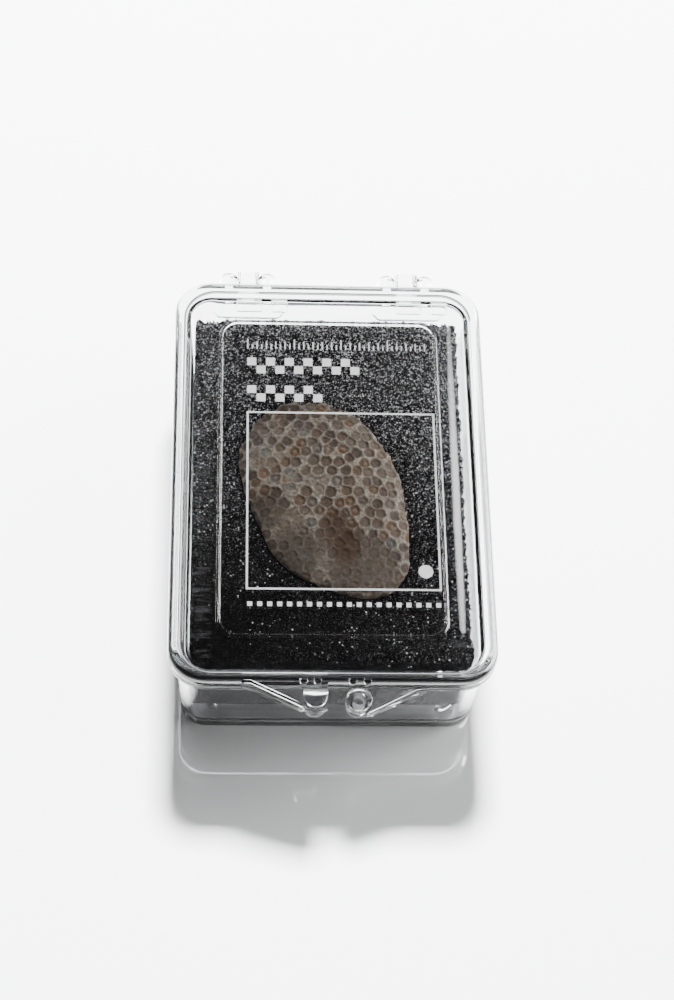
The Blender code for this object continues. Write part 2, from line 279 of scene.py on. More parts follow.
def black_foam():
    """Black open-cell polyurethane foam, cut from a block: nearly no light comes back from the open cells.
    The thin cut struts between them show as tiny grey and white specks: painted grey and painted glints,
    growing toward the back and right where the light comes from, with a painted band of backlight along the
    back edge, while the front is painted darker as shade. The cut left short ribs across both long sides.
    Real cells are about 0.3 mm; they are drawn at 0.42 mm so that they show."""
    made, tree = new_material("black_foam")
    place = add_node(tree, "ShaderNodeTexCoord").outputs["Object"]
    axes = add_node(tree, "ShaderNodeSeparateXYZ", Vector=place)
    cells = add_node(tree, "ShaderNodeTexVoronoi", {"feature": "DISTANCE_TO_EDGE"}, Vector=place,
                     Scale=per(FOAM_CELL))
    struts = add_node(tree, "ShaderNodeMapRange", Value=cells.outputs["Distance"], _1=0.0, _2=0.2, _3=1.0,
                      _4=0.0)
    mottle = add_node(tree, "ShaderNodeTexNoise", Vector=place, Scale=per(0.3), Detail=4.0, Roughness=0.8)
    strut_colour = add_node(tree, "ShaderNodeMix", {"data_type": "RGBA"}, _0=struts.outputs["Result"],
                            _6=linear("#040404"), _7=linear("#202022"))
    shade = add_node(tree, "ShaderNodeMapRange", Value=mottle.outputs["Fac"], _1=0.35, _2=0.68, _3=0.2,
                     _4=2.2)
    mottled = add_node(tree, "ShaderNodeVectorMath", {"operation": "MULTIPLY"}, _0=strut_colour.outputs[2],
                       _1=shade.outputs["Result"])
    # Painted light and shade: the struts are painted lighter toward the back and right, where the light comes
    # from, and near black toward the front.
    along = add_node(tree, "ShaderNodeMapRange", {"interpolation_type": "SMOOTHSTEP"},
                     Value=axes.outputs["Y"], _1=-0.018, _2=0.015, _3=0.0, _4=0.85)
    across = add_node(tree, "ShaderNodeMapRange", Value=axes.outputs["X"], _1=-0.013, _2=0.014, _3=0.0,
                      _4=0.25)
    toward = add_node(tree, "ShaderNodeMath", {"operation": "ADD"}, _0=along.outputs["Result"],
                      _1=across.outputs["Result"])
    # Painted backlight: a band of white specks along the back edge, where light shows through the cells.
    edge = add_node(tree, "ShaderNodeMapRange", Value=axes.outputs["Y"], _1=0.0184, _2=0.0203, _3=0.0,
                    _4=0.9)
    # Keeps the painted grey, the painted glints and the ribs mostly to the top face, so the cut sides stay
    # dark.
    upper = add_node(tree, "ShaderNodeMapRange", Value=axes.outputs["Z"], _1=0.0118, _2=0.0124, _3=0.06,
                     _4=1.0)
    # Painted light: grey specks, growing with the painted light toward the back and right.
    grain = add_node(tree, "ShaderNodeTexNoise", Vector=place, Scale=per(0.16), Detail=2.0, Roughness=0.6)
    peaks = add_node(tree, "ShaderNodeMapRange", Value=grain.outputs["Fac"], _1=0.555, _2=0.64, _3=0.0,
                     _4=1.0)
    # Painted shade: the mottled struts are darkened toward the front.
    painted_light_level = add_node(tree, "ShaderNodeMath", {"operation": "MULTIPLY_ADD"}, _0=toward.outputs["Value"],
                    _1=0.8, _2=0.08)
    painted_light_mottle = add_node(tree, "ShaderNodeVectorMath", {"operation": "MULTIPLY"}, _0=mottled.outputs["Vector"],
                     _1=painted_light_level.outputs["Value"])
    painted_light_on_top = add_node(tree, "ShaderNodeMath", {"operation": "MULTIPLY"}, _0=toward.outputs["Value"],
                      _1=upper.outputs["Result"])
    painted_grey_specks = add_node(tree, "ShaderNodeMath", {"operation": "MULTIPLY"}, _0=peaks.outputs["Result"],
                      _1=painted_light_on_top.outputs["Value"])
    painted_grey_specked = add_node(tree, "ShaderNodeMix", {"data_type": "RGBA"}, _0=painted_grey_specks.outputs["Value"],
                      _6=painted_light_mottle.outputs["Vector"], _7=linear("#D2D2D4"))
    drawn = add_node(tree, "ShaderNodeVectorMath", {"operation": "MULTIPLY"}, _0=place, _1=(0.12, 1.0, 0.3))
    ribs = add_node(tree, "ShaderNodeTexNoise", Vector=drawn.outputs["Vector"], Scale=per(0.35), Detail=2.0)
    ridges = add_node(tree, "ShaderNodeMapRange", Value=ribs.outputs["Fac"], _1=0.5, _2=0.68, _3=0.0,
                      _4=0.8)
    aside = add_node(tree, "ShaderNodeMath", {"operation": "ABSOLUTE"}, _0=axes.outputs["X"])
    beside = add_node(tree, "ShaderNodeMapRange", Value=aside.outputs["Value"], _1=0.012, _2=0.0126, _3=0.0,
                      _4=1.0)
    ribbed = add_node(tree, "ShaderNodeMath", {"operation": "MULTIPLY"}, _0=ridges.outputs["Result"],
                      _1=beside.outputs["Result"])
    lines = add_node(tree, "ShaderNodeMath", {"operation": "MULTIPLY"}, _0=ribbed.outputs["Value"],
                     _1=upper.outputs["Result"])
    streaked = add_node(tree, "ShaderNodeMix", {"data_type": "RGBA"}, _0=lines.outputs["Value"],
                        _6=painted_grey_specked.outputs[2], _7=linear("#48484A"))
    # Painted glints: white specks where the struts catch the light, denser toward the light and along the
    # back edge.
    painted_glints = add_node(tree, "ShaderNodeTexVoronoi", {"feature": "F1"}, Vector=place, Scale=per(0.25))
    near = add_node(tree, "ShaderNodeMapRange", Value=painted_glints.outputs["Distance"], _1=0.3, _2=0.48, _3=1.0,
                    _4=0.0)
    chance = add_node(tree, "ShaderNodeSeparateColor", Color=painted_glints.outputs["Color"])
    chances = add_node(tree, "ShaderNodeMath", {"operation": "MULTIPLY_ADD"}, _0=toward.outputs["Value"],
                       _1=0.42, _2=edge.outputs["Result"])
    share = add_node(tree, "ShaderNodeMath", {"operation": "MULTIPLY"}, _0=chances.outputs["Value"],
                     _1=upper.outputs["Result"])
    lit = add_node(tree, "ShaderNodeMath", {"operation": "LESS_THAN"}, _0=chance.outputs["Red"],
                   _1=share.outputs["Value"])
    strength = add_node(tree, "ShaderNodeMath", {"operation": "MULTIPLY"}, _0=lit.outputs["Value"],
                        _1=near.outputs["Result"])
    varied = add_node(tree, "ShaderNodeMath", {"operation": "MULTIPLY"}, _0=strength.outputs["Value"],
                      _1=chance.outputs["Green"])
    colour = add_node(tree, "ShaderNodeMix", {"data_type": "RGBA"}, _0=varied.outputs["Value"],
                      _6=streaked.outputs[2], _7=linear("#EDEDEF"))
    bump = add_node(tree, "ShaderNodeBump", Strength=0.6, Distance=0.00012, Height=struts.outputs["Result"])
    shader = add_node(tree, "ShaderNodeBsdfPrincipled", Base_Color=colour.outputs[2], Roughness=0.75,
                      Normal=bump.outputs["Normal"])
    shader.inputs["Specular IOR Level"].default_value = 0.06
    finish_material(tree, shader)
    return made


def bryozoan_limestone():
    """Fossil bryozoan skeleton turned to limestone, weathered out of its rock: raised cell walls worn pale
    beige, cell floors filled with brown-grey matrix, blue-grey and rusty patches, and a dry, grainy
    surface."""
    made, tree = new_material("bryozoan_limestone")
    place = add_node(tree, "ShaderNodeTexCoord").outputs["Object"]
    wall = add_node(tree, "ShaderNodeAttribute", {"attribute_name": "cell_wall"}).outputs["Fac"]
    tone = add_node(tree, "ShaderNodeAttribute", {"attribute_name": "cell_tone"}).outputs["Fac"]
    stain = add_node(tree, "ShaderNodeAttribute", {"attribute_name": "stain"}).outputs["Fac"]
    painted_highlight = add_node(tree, "ShaderNodeAttribute", {"attribute_name": "painted_highlight"}).outputs["Fac"]
    painted_shade = add_node(tree, "ShaderNodeAttribute", {"attribute_name": "painted_shade"}).outputs["Fac"]
    grain = add_node(tree, "ShaderNodeTexNoise", Vector=place, Scale=per(0.3), Detail=5.0, Roughness=0.7)
    patches = add_node(tree, "ShaderNodeTexNoise", Vector=place, Scale=per(3.2), Detail=4.0, Roughness=0.6)
    floor = add_node(tree, "ShaderNodeValToRGB", None,
                     ((0.0, "#4E3F35"), (0.35, "#5B4B3E"), (0.6, "#655546"), (0.8, "#6A4F37"),
                      (1.0, "#66615B")),
                     Fac=tone)
    crest = add_node(tree, "ShaderNodeValToRGB", None,
                     ((0.3, "#776B60"), (0.5, "#948A7D"), (0.7, "#AAA297")),
                     Fac=grain.outputs["Fac"])
    cells = add_node(tree, "ShaderNodeMix", {"data_type": "RGBA"}, _0=wall, _6=floor.outputs["Color"],
                     _7=crest.outputs["Color"])
    cool = add_node(tree, "ShaderNodeMapRange", Value=patches.outputs["Fac"], _1=0.5, _2=0.62, _3=0.0,
                    _4=0.22)
    cooled = add_node(tree, "ShaderNodeMix", {"data_type": "RGBA"}, _0=cool.outputs["Result"],
                      _6=cells.outputs[2], _7=linear("#75726F"))
    warm = add_node(tree, "ShaderNodeMapRange", Value=patches.outputs["Fac"], _1=0.34, _2=0.46, _3=0.3,
                    _4=0.0)
    warmed = add_node(tree, "ShaderNodeMix", {"data_type": "RGBA"}, _0=warm.outputs["Result"],
                      _6=cooled.outputs[2], _7=linear("#705D4D"))
    # Painted highlight: a paler rim, mostly at the upper right, where the light falls.
    painted_highlighted = add_node(tree, "ShaderNodeMix", {"data_type": "RGBA"}, _0=painted_highlight,
                      _6=warmed.outputs[2], _7=linear("#978B7F"))
    # Painted shade: darker grey-brown over the lower end, which faces away from the light.
    painted_shaded = add_node(tree, "ShaderNodeMix", {"data_type": "RGBA"}, _0=painted_shade,
                      _6=painted_highlighted.outputs[2], _7=linear("#4A4036"))
    stained = add_node(tree, "ShaderNodeMix", {"data_type": "RGBA"}, _0=stain,
                       _6=painted_shaded.outputs[2], _7=linear("#4A3320"))
    speckle = add_node(tree, "ShaderNodeMapRange", Value=grain.outputs["Fac"], _1=0.3, _2=0.7, _3=0.62,
                       _4=1.36)
    colour = add_node(tree, "ShaderNodeVectorMath", {"operation": "MULTIPLY"}, _0=stained.outputs[2],
                      _1=speckle.outputs["Result"])
    bump = add_node(tree, "ShaderNodeBump", Strength=0.7, Distance=0.00008, Height=grain.outputs["Fac"])
    shader = add_node(tree, "ShaderNodeBsdfPrincipled", Base_Color=colour.outputs["Vector"], Roughness=0.8,
                      Normal=bump.outputs["Normal"])
    finish_material(tree, shader)
    return made


def printed_ink():
    """White pad-printing ink: a thin matt film, slightly uneven where it pulled off the pad."""
    made, tree = new_material("white_printing_ink")
    place = add_node(tree, "ShaderNodeTexCoord").outputs["Object"]
    film = add_node(tree, "ShaderNodeTexNoise", Vector=place, Scale=per(0.4), Detail=3.0)
    colour = add_node(tree, "ShaderNodeValToRGB", None, ((0.3, "#B4B4B4"), (0.6, "#C4C4C4")),
                      Fac=film.outputs["Fac"])
    shader = add_node(tree, "ShaderNodeBsdfPrincipled", Base_Color=colour.outputs["Color"], Roughness=0.55)
    finish_material(tree, shader)
    return made


def stage_floor():
    """Pale glossy table top."""
    made, tree = new_material("stage_floor")
    shader = add_node(tree, "ShaderNodeBsdfPrincipled", Base_Color=linear("#BCBDBE"), Roughness=0.05,
                      Metallic=0.45)
    finish_material(tree, shader)
    return made


def add_object(name, mesh):
    made = bpy.data.objects.new(name, mesh)
    bpy.context.scene.collection.objects.link(made)
    return made


def mesh_from_bmesh(name, bm):
    bmesh.ops.recalc_face_normals(bm, faces=bm.faces)
    mesh = bpy.data.meshes.new(name)
    bm.to_mesh(mesh)
    bm.free()
    return mesh


def mesh_from_grid(name, points, faces):
    mesh = bpy.data.meshes.new(name)
    mesh.from_pydata(points.tolist(), [], faces)
    mesh.validate()
    mesh.polygons.foreach_set("use_smooth", [True] * len(mesh.polygons))
    mesh.update()
    return mesh


def rounded_rectangle(half_x, half_y, radius, z):
    """One closed row of points around a rectangle with rounded corners."""
    points = []
    for corner, (side_x, side_y) in enumerate(((1, 1), (-1, 1), (-1, -1), (1, -1))):
        for step in range(CORNER_SEGMENTS + 1):
            angle = (corner + step / CORNER_SEGMENTS) * math.pi / 2
            x = side_x * (half_x - radius) + radius * math.cos(angle)
            y = side_y * (half_y - radius) + radius * math.sin(angle)
            points.append((x * MM, y * MM, z * MM))
    return points


def rounded_profile(profile):
    """The same profile with each corner cut to a soft curve."""
    points = list(profile)
    for _ in range(PROFILE_ROUNDS):
        softer = [points[0]]
        for (a, b), (c, d) in zip(points, points[1:]):
            softer.append((0.75 * a + 0.25 * c, 0.75 * b + 0.25 * d))
            softer.append((0.25 * a + 0.75 * c, 0.25 * b + 0.75 * d))
        softer.append(points[-1])
        points = softer
    return points


def shell(name, profile, tightening):
    """A box half turned around its outline: each step of the profile is an inset and a level."""
    bm = bmesh.new()
    rows = []
    for inset, z in rounded_profile(profile):
        radius = max(SMALLEST_CORNER, CORNER_RADIUS - tightening * inset)
        ring = rounded_rectangle(HALF_WIDTH - inset, HALF_LENGTH - inset, radius, z)
        rows.append([bm.verts.new(point) for point in ring])
    count = len(rows[0])
    for lower, upper in zip(rows, rows[1:]):
        for i in range(count):
            j = (i + 1) % count
            bm.faces.new((lower[i], lower[j], upper[j], upper[i]))
    bm.faces.new(list(reversed(rows[0])))
    bm.faces.new(rows[-1])
    return mesh_from_bmesh(name, bm)


def prism(name, outline, axis, start, end, bevel=0.0):
    """An outline pushed along X or Z between two positions, with softened edges."""
    bm = bmesh.new()
    rows = []
    for position in (start, end):
        if axis == "X":
            rows.append([bm.verts.new((position * MM, a * MM, b * MM)) for a, b in outline])
        else:
            rows.append([bm.verts.new((a * MM, b * MM, position * MM)) for a, b in outline])
    count = len(outline)
    for i in range(count):
        j = (i + 1) % count
        bm.faces.new((rows[0][i], rows[0][j], rows[1][j], rows[1][i]))
    bm.faces.new(list(reversed(rows[0])))
    bm.faces.new(rows[1])
    bmesh.ops.recalc_face_normals(bm, faces=bm.faces)
    if bevel:
        bmesh.ops.bevel(bm, geom=bm.edges[:], offset=bevel * MM, segments=3, profile=0.5, affect="EDGES",
                        clamp_overlap=True)
    return mesh_from_bmesh(name, bm)


def round_bar(name, centre, radius, start, end, axis, segments, bevel=0.0):
    """A straight round bar along X or Z."""
    outline = []
    for i in range(segments):
        angle = 2 * math.pi * i / segments
        outline.append((centre[0] + radius * math.cos(angle), centre[1] + radius * math.sin(angle)))
    return prism(name, outline, axis, start, end, bevel)


def ball(name, centre, radius):
    bm = bmesh.new()
    bmesh.ops.create_uvsphere(bm, u_segments=40, v_segments=24, radius=radius * MM)
    bmesh.ops.translate(bm, verts=bm.verts, vec=Vector(centre) * MM)
    return mesh_from_bmesh(name, bm)


def combine(target, mesh, operation):
    """Joins a tool shape to a piece or cuts it away, and keeps only the result."""
    tool = add_object("tool", mesh)
    step = target.modifiers.new("step", "BOOLEAN")
    step.operation = operation
    step.solver = "EXACT"
    step.object = tool
    made = bpy.data.meshes.new_from_object(target.evaluated_get(bpy.context.evaluated_depsgraph_get()))
    target.modifiers.clear()
    target.data = made
    bpy.data.objects.remove(tool)


def smooth(target):
    """Smooth shading with sharp edges kept."""
    bm = bmesh.new()
    bm.from_mesh(target.data)
    bmesh.ops.remove_doubles(bm, verts=bm.verts, dist=0.000002)
    for face in bm.faces:
        face.smooth = True
    for edge in bm.edges:
        edge.smooth = len(edge.link_faces) == 2 and edge.calc_face_angle(0.0) < math.radians(SHARP_ANGLE)
    bm.to_mesh(target.data)
    bm.free()


def sloped_tab(name, root_x, tip_x, inner_x, level, thickness=TAB_THICKNESS, edge_only=0.0):
    """A thin triangular finger tab that drops a little toward its tip, or only the rib along its edge."""
    outline = [(inner_x, TAB_ROOT_Y), (root_x, TAB_ROOT_Y), (root_x, -HALF_LENGTH - 0.1),
               (tip_x, TAB_TIP_Y), (inner_x, TAB_TIP_Y)]
    if edge_only:
        inward = edge_only if root_x < inner_x else -edge_only
        outline = [(root_x, -HALF_LENGTH + 0.2), (root_x, -HALF_LENGTH - 0.1), (tip_x, TAB_TIP_Y),
                   (tip_x + inward * 0.2, TAB_TIP_Y + edge_only),
                   (root_x + 2.2 * inward, -HALF_LENGTH + 0.2)]
    bm = bmesh.new()
    rows = []
    for lift in (0.0, thickness):
        row = []
        for x, y in outline:
            z = level + lift - TAB_DROP * max(0.0, -HALF_LENGTH - y)
            row.append(bm.verts.new((x * MM, y * MM, z * MM)))
        rows.append(row)
    count = len(outline)
    for i in range(count):
        j = (i + 1) % count
        bm.faces.new((rows[0][i], rows[0][j], rows[1][j]))
        bm.faces.new((rows[0][i], rows[1][j], rows[1][i]))
    for row in rows:
        bmesh.ops.triangulate(bm, faces=[bm.faces.new(row)])
    return mesh_from_bmesh(name, bm)


def arm_outline():
    """Side shape of a lid hinge arm, from the lid rim down around the barrel."""
    outline = [(22.7, 15.1), (22.7, 14.25), (23.85, 14.15)]
    for degrees in range(180, 401, 10):
        angle = math.radians(degrees)
        outline.append((HINGE_Y + BARREL_RADIUS * math.cos(angle),
                       HINGE_Z + BARREL_RADIUS * math.sin(angle)))
    outline += [(25.45, 14.35), (25.0, 14.85), (24.4, 15.1)]
    return outline


def make_tray():
    profile = (
        (4.55, 1.9), (4.3, 1.75), (4.2, 0.35), (4.1, 0.1), (3.85, 0.0),
        (1.95, 0.0), (1.5, 0.12), (1.22, 0.42), (1.12, 0.9),
        (0.92, 12.3), (0.86, 12.65), (0.6, 12.82), (0.15, 12.86), (0.0, 13.0), (0.0, 13.62),
        (0.12, TRAY_RIM_TOP), (1.6, TRAY_RIM_TOP), (1.72, 13.66),
        (1.95, 1.9), (2.05, 1.4), (2.35, 1.08), (2.75, 1.0), (3.05, 1.1),
        (3.18, 1.35), (3.24, 2.7), (3.32, 2.88), (3.55, 2.95),
    )
    tray = add_object("specimen_tray", shell("specimen_tray", profile, TRAY_CORNER_TIGHTENING))
    for group_x in (-HINGE_GROUP_X, HINGE_GROUP_X):
        for end in (-1, 1):
            x = group_x + end * KNUCKLE_SPACING / 2
            left, right = x - NECK_WIDTH / 2, x + NECK_WIDTH / 2
            neck = ((left, NECK_Y[0]), (right, NECK_Y[0]), (right, NECK_Y[1]), (left, NECK_Y[1]))
            combine(tray, prism("neck", neck, "Z", *NECK_Z, 0.08), "UNION")
            combine(tray, ball("knuckle", (x, HINGE_Y, HINGE_Z), KNUCKLE_RADIUS), "UNION")
            socket = sorted(x - end * reach for reach in SOCKET_REACH)
            combine(tray, round_bar("socket", (HINGE_Y, HINGE_Z), SOCKET_RADIUS, *socket, "X", 32),
                    "DIFFERENCE")
    combine(tray, sloped_tab("tab", TRAY_TAB_ROOT_X, TRAY_TAB_TIP_X, RING_X, TRAY_TAB_BOTTOM), "UNION")
    combine(tray, sloped_tab("rib", TRAY_TAB_ROOT_X, TRAY_TAB_TIP_X, RING_X, *TRAY_RIB, TAB_RIB_WIDTH),
            "UNION")
    combine(tray, round_bar("boss", (RING_X, RING_Y), RING_RADIUS, *RING_Z, "Z", 48, 0.2), "UNION")
    combine(tray, round_bar("hole", (RING_X, RING_Y), RING_HOLE_RADIUS, *RING_HOLE_Z, "Z", 40),
            "DIFFERENCE")
    smooth(tray)
    return tray


def make_lid():
    profile = (
        (5.6, 14.42), (5.1, 14.43), (4.5, 14.48), (3.7, 14.56), (3.1, 14.6),
        (2.6, 14.62), (1.3, 14.62), (1.08, 14.45), (1.02, LID_RIM_BOTTOM), (0.12, LID_RIM_BOTTOM),
        (0.0, 14.22), (0.0, 14.6), (0.06, 14.88), (0.2, 15.1), (0.42, 15.25), (0.7, LID_TOP),
        (2.25, LID_TOP), (2.65, 15.28), (3.1, 15.22), (3.9, 15.06), (4.5, 14.97), (4.72, LID_PANEL_TOP),
        (4.8, LID_PANEL_TOP), (4.98, LID_PANEL_TOP + PANEL_BEAD), (5.14, LID_PANEL_TOP + PANEL_BEAD),
        (5.2, LID_PANEL_TOP), (5.5, LID_PANEL_TOP),
    )
    lid = add_object("specimen_lid", shell("specimen_lid", profile, LID_CORNER_TIGHTENING))
    for group_x in (-HINGE_GROUP_X, HINGE_GROUP_X):
        left_x = group_x - BRACKET_HALF_WIDTH
        right_x = group_x + BRACKET_HALF_WIDTH
        corner_y = BRACKET_FRONT_Y + BRACKET_CORNER
        bracket = ((left_x, BRACKET_BACK_Y), (left_x, corner_y), (left_x + BRACKET_CORNER, BRACKET_FRONT_Y),
                   (right_x - BRACKET_CORNER, BRACKET_FRONT_Y), (right_x, corner_y),
                   (right_x, BRACKET_BACK_Y))
        combine(lid, prism("bracket", bracket, "Z", BRACKET_BOTTOM, RAISED_TOP, 0.2), "UNION")
        front, back = POCKET_Y
        for middle, half in POCKETS:
            left, right = group_x + middle - half, group_x + middle + half
            pocket = ((left, front), (right, front), (right, back), (left, back))
            combine(lid, prism("pocket", pocket, "Z", LID_TOP - POCKET_DEPTH, LID_TOP + 1.0, 0.15),
                    "DIFFERENCE")
        combine(lid, prism("arm", arm_outline(), "X", group_x - ARM_WIDTH / 2, group_x + ARM_WIDTH / 2),
                "UNION")
        for end in (-1, 1):
            centre = (group_x + end * KNUCKLE_SPACING / 2, HINGE_Y, HINGE_Z)
            combine(lid, ball("barrel_end", centre, KNUCKLE_RADIUS + BARREL_GAP), "DIFFERENCE")
        pin_half = KNUCKLE_SPACING / 2 - PIN_GAP
        pin = round_bar("pin", (HINGE_Y, HINGE_Z), PIN_RADIUS, group_x - pin_half, group_x + pin_half, "X",
                        24)
        combine(lid, pin, "UNION")
    post_right = LID_POST_X + LID_POST_RADIUS - 0.02
    combine(lid, sloped_tab("tab", LID_TAB_ROOT_X, LID_TAB_TIP_X, post_right + 0.02, LID_TAB_BOTTOM),
            "UNION")
    combine(lid, sloped_tab("rib", LID_TAB_ROOT_X, LID_TAB_TIP_X, post_right, *LID_RIB, TAB_RIB_WIDTH),
            "UNION")
    post = [(LID_POST_X - LID_POST_RADIUS + 0.02, LID_POST_BACK_Y)]
    for step in range(25):
        angle = math.pi * (1 + step / 24)
        reach = (LID_POST_RADIUS - 0.02) * math.cos(angle)
        post.append((LID_POST_X + reach, LID_POST_Y + LID_POST_RADIUS * math.sin(angle)))
    post.append((post_right, LID_POST_BACK_Y))
    combine(lid, prism("post", post, "Z", *LID_POST_Z, 0.2), "UNION")
    for boss_x in LID_BOSSES_X:
        boss = round_bar("boss", (boss_x, LID_BOSS_Y), LID_BOSS_RADIUS, LID_BOSS_BOTTOM, RAISED_TOP, "Z",
                         24, 0.1)
        combine(lid, boss, "UNION")
    smooth(lid)
    return lid


def fossil_radius(angle):
    """Smooth closed outline through the fossil's radii."""
    count = len(FOSSIL_RADII)
    place = (angle / (2 * math.pi)) % 1.0 * count
    i = int(place)
    t = place - i
    a, b, c, d = (FOSSIL_RADII[(i + k) % count] for k in (-1, 0, 1, 2))
    bend = (2 * a - 5 * b + 4 * c - d) * t * t
    twist = (3 * b - a - 3 * c + d) * t ** 3
    return 0.5 * (2 * b + (c - a) * t + bend + twist)


def cell_pattern(places):
    """For each place on the fossil: how far the nearest and the next cell middles are, in cell widths, and
    the nearest cell's own random values and its middle."""
    random = np.random.default_rng(CELL_SEED)
    rows = int(2 * CELL_FIELD / (CELL_PITCH * CELL_ROW_STEP))
    seeds = np.array([((column + 0.5 * (row % 2)) * CELL_PITCH - CELL_FIELD,
                       row * CELL_PITCH * CELL_ROW_STEP - CELL_FIELD)
                      for row in range(rows) for column in range(CELL_COLUMNS)])
    seeds += random.normal(0.0, CELL_JITTER * CELL_PITCH, seeds.shape) * 0.8
    own = random.random((len(seeds), 3))
    first = np.empty(len(places))
    second = np.empty(len(places))
    nearest = np.empty(len(places), dtype=int)
    for start in range(0, len(places), CELLS_AT_ONCE):
        span = slice(start, start + CELLS_AT_ONCE)
        part = places[span]
        apart = np.hypot(part[:, :1] - seeds[:, 0], part[:, 1:] - seeds[:, 1])
        order = np.argpartition(apart, 1, axis=1)[:, :2]
        pair = np.take_along_axis(apart, order, axis=1)
        first[span] = pair.min(axis=1)
        second[span] = pair.max(axis=1)
        nearest[span] = order[np.arange(len(part)), pair.argmin(axis=1)]
    return first / CELL_PITCH, second / CELL_PITCH, own[nearest], seeds[nearest]


def soft_step(values, low, high):
    share = np.clip((values - low) / (high - low), 0.0, 1.0)
    return share * share * (3 - 2 * share)


def patch_share(places, patches):
    """How much each place lies in any of the round patches, fading at their edges."""
    share = np.zeros(len(places))
    for x, y, radius in patches:
        apart = np.hypot(places[:, 0] - x, places[:, 1] - y) / radius
        share = np.maximum(share, 1.0 - soft_step(apart, 0.55, 1.25))
    return share


def make_fossil():
    """A domed lump, its top covered by a worn honeycomb of round cells."""
    sides = [-1] * FOSSIL_BELLY_RINGS + [1] * (FOSSIL_TOP_RINGS + 1)
    shares = [math.sin(math.pi / 2 * (ring + 0.3) / (FOSSIL_BELLY_RINGS + 0.3))
              for ring in range(FOSSIL_BELLY_RINGS)]
    shares += [1.0 - (ring / (FOSSIL_TOP_RINGS + 0.4)) ** 1.2 for ring in range(FOSSIL_TOP_RINGS + 1)]
    bearings = [2 * math.pi * i / FOSSIL_AROUND for i in range(FOSSIL_AROUND)]
    rims = []
    for angle in bearings:
        place = Vector((math.cos(angle) * 6, math.sin(angle) * 6, 1.7))
        ragged = FOSSIL_RIM_ROUGHNESS * noise.fractal(place, 1.0, 2.1, 4)
        rims.append(fossil_radius(angle) - FOSSIL_RIM_INSET + ragged)
    points = []
    for side, share in zip(sides, shares):
        for angle, rim in zip(bearings, rims):
            x = FOSSIL_X + rim * share * math.cos(angle)
            y = FOSSIL_Y + rim * share * math.sin(angle)
            swell = noise.noise(Vector((x * 0.16, y * 0.16, 3.0)))
            uneven = noise.noise(Vector((x * 0.42, y * 0.42, 8.0))) * (1.0 - share ** 4)
            if side > 0:
                rise = (1.0 - share ** 2.8) ** 0.6
                z = FOSSIL_EDGE_LEVEL + rise * FOSSIL_DOME * (0.9 + 0.16 * swell) + 0.09 * (uneven - 0.5)
            else:
                z = FOSSIL_EDGE_LEVEL - (1.0 - share ** 3) ** 0.5 * FOSSIL_BELLY * (0.93 + 0.1 * swell)
            points.append((x, y, z))
    points = np.array(points)
    count = len(shares)
    grid = points.reshape(count, FOSSIL_AROUND, 3)
    steps = np.linalg.norm(np.diff(grid, axis=0), axis=2)
    out = np.zeros((count, FOSSIL_AROUND))
    out[:-1] = np.cumsum(steps[::-1], axis=0)[::-1]
    flat = np.stack((out * np.cos(bearings), out * np.sin(bearings)), axis=2).reshape(-1, 2)
    flat += (FOSSIL_X, FOSSIL_Y)
    first, second, own, seeds = cell_pattern(flat)
    top = np.repeat(np.array(sides) > 0, FOSSIL_AROUND) * 1.0
    worn = np.array([noise.noise(Vector((x * 0.45, y * 0.45, 9.0))) for x, y in seeds])
    filled = np.clip(patch_share(seeds, FILLED_PATCHES) + 0.6 * soft_step(worn, 0.2, 0.7), 0.0, 1.0)
    reach = first / (CELL_RADIUS + CELL_RADIUS_SPREAD * own[:, 0])
    pit = (1.0 - soft_step(reach, 0.72, 1.12)) * soft_step(second - first, 0.02, 0.2)
    knob = (own[:, 1] > 0.72) * (1.0 - soft_step(reach, 0.15, 0.5))
    pit *= 1.0 - 0.55 * knob
    opened = (1.0 - 0.66 * filled) * (0.7 + 0.45 * own[:, 2])
    crest = np.exp(-((reach - 1.12) / 0.16) ** 2) * (1.0 - 0.7 * filled)
    grit = np.array([noise.fractal(Vector(place) * 2.6, 0.9, 2.0, 5) for place in points])
    around = np.roll(grid, -1, axis=1) - np.roll(grid, 1, axis=1)
    inward = np.gradient(grid, axis=0)
    normals = np.cross(around, inward).reshape(-1, 3)
    normals /= np.linalg.norm(normals, axis=1, keepdims=True) + 1e-12
    relief = top * CELL_DEPTH * (0.25 * crest - pit * opened) + STONE_GRIT * grit
    points += normals * relief[:, None]
    faces = []
    for row in range(count - 1):
        a, b = row * FOSSIL_AROUND, (row + 1) * FOSSIL_AROUND
        for i in range(FOSSIL_AROUND):
            j = (i + 1) % FOSSIL_AROUND
            faces.append((a + i, a + j, b + j, b + i))
    faces.append(tuple(reversed(range(FOSSIL_AROUND))))
    faces.append(tuple(range((count - 1) * FOSSIL_AROUND, count * FOSSIL_AROUND)))
    mesh = mesh_from_grid("fossil", points * MM, faces)
    stain = patch_share(points[:, :2] + 0.5 * grit[:, None], STAIN_PATCHES) * STAIN_STRENGTH
    wall = np.clip(1.0 - 1.15 * pit * (0.25 + 0.75 * opened), 0.0, 1.0)
    wall *= 0.62 + 0.38 * np.clip(crest * 1.6, 0, 1)
    wall = np.clip(wall * (0.9 + 0.75 * grit), 0.0, 1.0)
    # Painted highlight along the rim, kept as an attribute for the material.
    painted_highlight = patch_share(points[:, :2] + 0.6 * grit[:, None], PAINTED_HIGHLIGHT_PATCHES) * PAINTED_HIGHLIGHT_STRENGTH
    # Painted shade over the lower end, kept as an attribute for the material.
    painted_shade = patch_share(points[:, :2] + 0.6 * grit[:, None], PAINTED_SHADE_PATCHES) * PAINTED_SHADE_STRENGTH
    for name, values in (("cell_wall", wall), ("cell_tone", own[:, 1]), ("stain", stain), ("painted_highlight", painted_highlight),
                         ("painted_shade", painted_shade)):
        layer = mesh.attributes.new(name, "FLOAT", "POINT")
        layer.data.foreach_set("value", values.astype(np.float32))
    return add_object("fossil", mesh)


